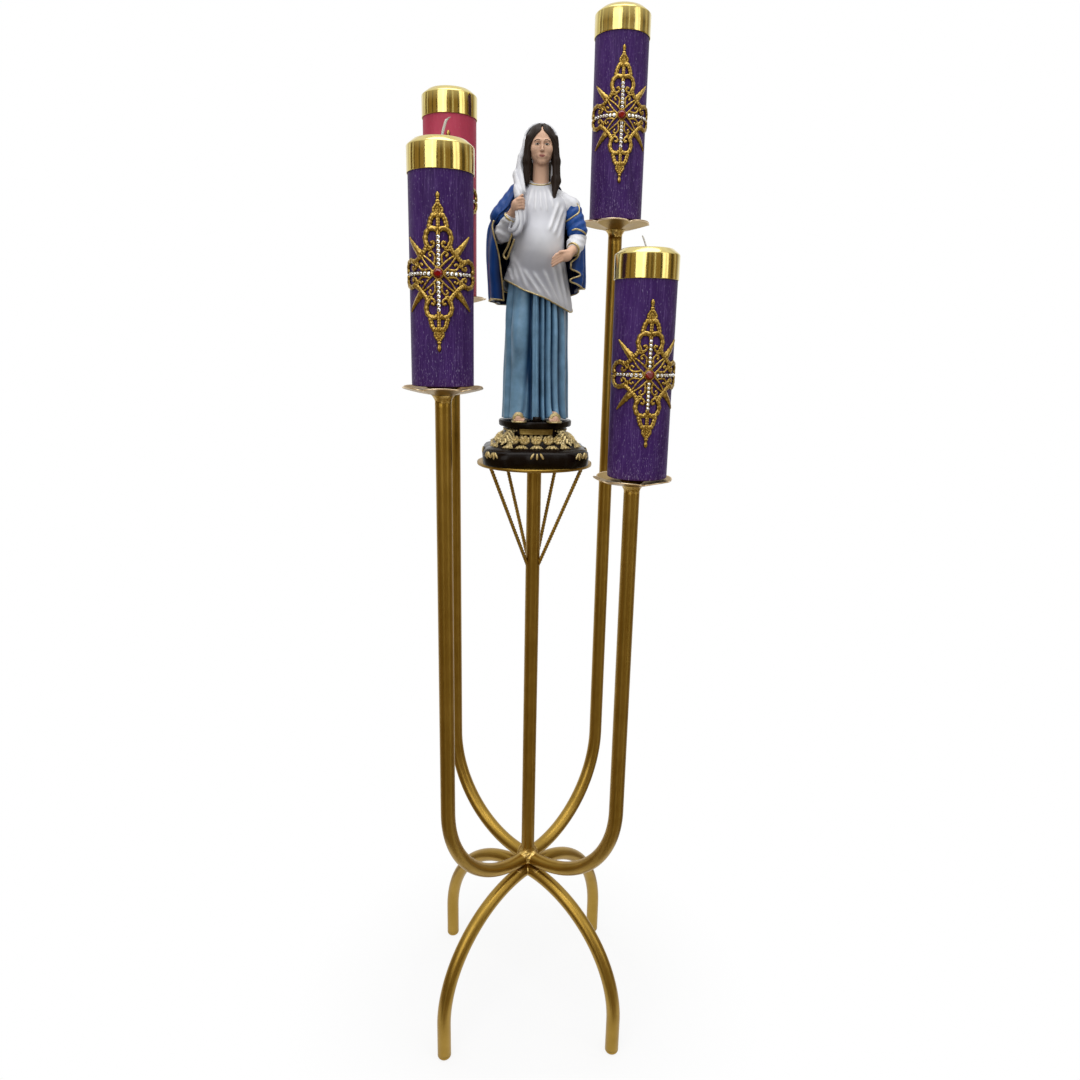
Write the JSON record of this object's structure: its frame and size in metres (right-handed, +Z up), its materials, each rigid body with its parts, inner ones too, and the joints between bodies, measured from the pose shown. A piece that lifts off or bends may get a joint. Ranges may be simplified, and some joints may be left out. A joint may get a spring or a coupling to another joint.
{
  "type": "advent candle holder",
  "caption": "Gold tube advent candle stand with pans at stepped heights, brushed candles with filigree crosses and caps, and a standing figure on a centre plate.",
  "frame": {"origin": "centre of the footprint on the floor, under the centre post", "axes": "+Z up; the crosses and the figure face -Y; +X to the viewer's right"},
  "size_m": [0.3137, 0.3147, 1.4064],
  "materials": {
    "gold_tube": "satin gold paint",
    "gold_weld": "satin gold paint over weld",
    "gold_sheet": "satin gold paint",
    "purple_wax": "brushed wax",
    "pink_wax": "brushed wax",
    "wick": "waxed cotton",
    "gold_filigree": "cast gold",
    "red_glass": "faceted",
    "clear_glass": "faceted",
    "polished_gold": "polished",
    "dark_resin": "painted dark brown with gold",
    "painted_resin": "hand painted"
  },
  "bodies": {
    "stand": {"leg_front_right": "gold_tube", "arm_front_right": "gold_tube", "leg_front_left": "gold_tube", "arm_front_left": "gold_tube", "leg_back_left": "gold_tube", "arm_back_left": "gold_tube", "leg_back_right": "gold_tube", "arm_back_right": "gold_tube", "centre_post": "gold_tube", "post_weld": "gold_weld", "hub_weld": "gold_weld", "foot_plugs": "gold_tube", "statue_plate": "gold_sheet", "plate_brace_1": "gold_tube", "plate_brace_2": "gold_tube", "plate_brace_3": "gold_tube", "plate_brace_4": "gold_tube", "pan_front_right": "gold_sheet", "pricket_front_right": "gold_sheet", "pan_front_left": "gold_sheet", "pricket_front_left": "gold_sheet", "pan_back_left": "gold_sheet", "pricket_back_left": "gold_sheet", "pan_back_right": "gold_sheet", "pricket_back_right": "gold_sheet", "pan_necks": "gold_weld"},
    "lifting_candle_front_right": {"candle_front_right": "purple_wax", "wick_front_right": "wick", "cross_front_right": "gold_filigree", "gem_front_right": "red_glass", "stones_front_right": "clear_glass"},
    "lifting_cap_front_right": {"cap_front_right": "polished_gold"},
    "lifting_candle_front_left": {"candle_front_left": "purple_wax", "wick_front_left": "wick", "cross_front_left": "gold_filigree", "gem_front_left": "red_glass", "stones_front_left": "clear_glass"},
    "lifting_cap_front_left": {"cap_front_left": "polished_gold"},
    "lifting_candle_back_left": {"candle_back_left": "pink_wax", "wick_back_left": "wick", "cross_back_left": "gold_filigree", "gem_back_left": "red_glass", "stones_back_left": "clear_glass"},
    "lifting_cap_back_left": {"cap_back_left": "polished_gold"},
    "lifting_candle_back_right": {"candle_back_right": "purple_wax", "wick_back_right": "wick", "cross_back_right": "gold_filigree", "gem_back_right": "red_glass", "stones_back_right": "clear_glass"},
    "lifting_cap_back_right": {"cap_back_right": "polished_gold"},
    "lifting_statue": {"statue_pedestal": "dark_resin", "statue_nameplate": "gold_sheet", "statue_figure": "painted_resin"}
  },
  "joints": [
    {"name": "candle_lift_front_right", "type": "slide", "parent": "stand", "child": "lifting_candle_front_right", "axis": [0, 0, 1], "range_m": [0, 0.06]},
    {"name": "cap_lift_front_right", "type": "slide", "parent": "lifting_candle_front_right", "child": "lifting_cap_front_right", "axis": [0, 0, 1], "range_m": [0, 0.07]},
    {"name": "candle_lift_front_left", "type": "slide", "parent": "stand", "child": "lifting_candle_front_left", "axis": [0, 0, 1], "range_m": [0, 0.06]},
    {"name": "cap_lift_front_left", "type": "slide", "parent": "lifting_candle_front_left", "child": "lifting_cap_front_left", "axis": [0, 0, 1], "range_m": [0, 0.07]},
    {"name": "candle_lift_back_left", "type": "slide", "parent": "stand", "child": "lifting_candle_back_left", "axis": [0, 0, 1], "range_m": [0, 0.06]},
    {"name": "cap_lift_back_left", "type": "slide", "parent": "lifting_candle_back_left", "child": "lifting_cap_back_left", "axis": [0, 0, 1], "range_m": [0, 0.07]},
    {"name": "candle_lift_back_right", "type": "slide", "parent": "stand", "child": "lifting_candle_back_right", "axis": [0, 0, 1], "range_m": [0, 0.06]},
    {"name": "cap_lift_back_right", "type": "slide", "parent": "lifting_candle_back_right", "child": "lifting_cap_back_right", "axis": [0, 0, 1], "range_m": [0, 0.07]},
    {"name": "statue_lift", "type": "slide", "parent": "stand", "child": "lifting_statue", "axis": [0, 0, 1], "range_m": [0, 0.06]}
  ]
}
